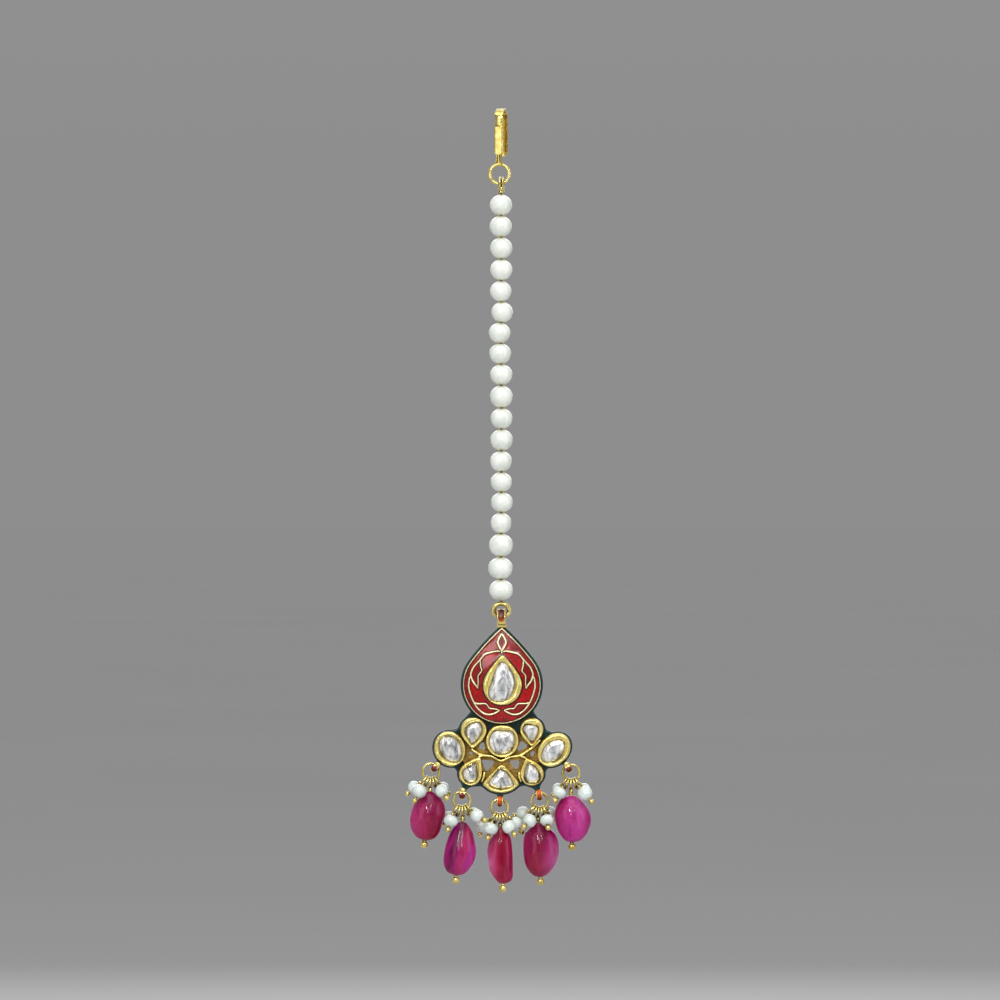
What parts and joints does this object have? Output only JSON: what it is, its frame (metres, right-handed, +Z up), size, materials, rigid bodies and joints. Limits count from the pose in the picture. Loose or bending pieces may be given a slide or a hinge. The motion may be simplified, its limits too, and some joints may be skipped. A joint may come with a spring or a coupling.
{
  "type": "maang tikka",
  "caption": "Hair jewel: a hook, a string of pearls, and a hinged enamelled gold pendant set with flat diamonds and hung with ruby bead drops.",
  "frame": {"origin": "inside top of the hair hook's bend, where the jewel hangs", "axes": "+Z up along the hanging string, front of the pendant towards -Y, +X to the right seen from the front"},
  "size_m": [0.0341, 0.0083, 0.1411],
  "materials": {
    "gold": "polished yellow gold",
    "pearl": "lustrous white pearl",
    "seed_pearl": "lustrous bluish white seed pearl",
    "diamond": "flat uncut diamond, silvery",
    "ruby": "polished translucent ruby bead",
    "red_enamel": "glossy translucent red enamel",
    "green_enamel": "glossy dark green enamel",
    "orange_enamel": "glossy red and orange enamel"
  },
  "bodies": {
    "string": {"hair_hook": "gold", "string_wire": "gold", "pearl_01": "pearl", "pearl_02": "pearl", "pearl_03": "pearl", "pearl_04": "pearl", "pearl_05": "pearl", "pearl_06": "pearl", "pearl_07": "pearl", "pearl_08": "pearl", "pearl_09": "pearl", "pearl_10": "pearl", "pearl_11": "pearl", "pearl_12": "pearl", "pearl_13": "pearl", "pearl_14": "pearl", "pearl_15": "pearl", "pearl_16": "pearl", "pearl_17": "pearl", "pearl_18": "pearl", "pearl_19": "pearl"},
    "pendant": {"pendant_frame": "gold", "plaque_enamel": "red_enamel", "back_enamel": "green_enamel", "lug_enamel": "orange_enamel", "main_stone": "diamond", "centre_stone": "diamond", "upper_left_stone": "diamond", "upper_right_stone": "diamond", "left_stone": "diamond", "right_stone": "diamond", "lower_left_stone": "diamond", "lower_right_stone": "diamond", "fan_stone": "diamond", "jump_ring_1": "gold", "jump_ring_2": "gold", "jump_ring_3": "gold", "jump_ring_4": "gold", "jump_ring_5": "gold", "ruby_1": "ruby", "ruby_2": "ruby", "ruby_3": "ruby", "ruby_4": "ruby", "ruby_5": "ruby", "ruby_pin_1": "gold", "ruby_pin_2": "gold", "ruby_pin_3": "gold", "ruby_pin_4": "gold", "ruby_pin_5": "gold", "seed_pearls_1": "seed_pearl", "seed_pearls_2": "seed_pearl", "seed_pearls_3": "seed_pearl", "seed_pearls_4": "seed_pearl", "seed_pearls_5": "seed_pearl", "pearl_pins_1": "gold", "pearl_pins_2": "gold", "pearl_pins_3": "gold", "pearl_pins_4": "gold", "pearl_pins_5": "gold"}
  },
  "joints": [
    {"name": "pendant_swing", "type": "hinge", "parent": "string", "child": "pendant", "pos_m": [0, -0.00148, -0.091], "axis": [1, 0, 0], "range_deg": [-90, 90]}
  ]
}
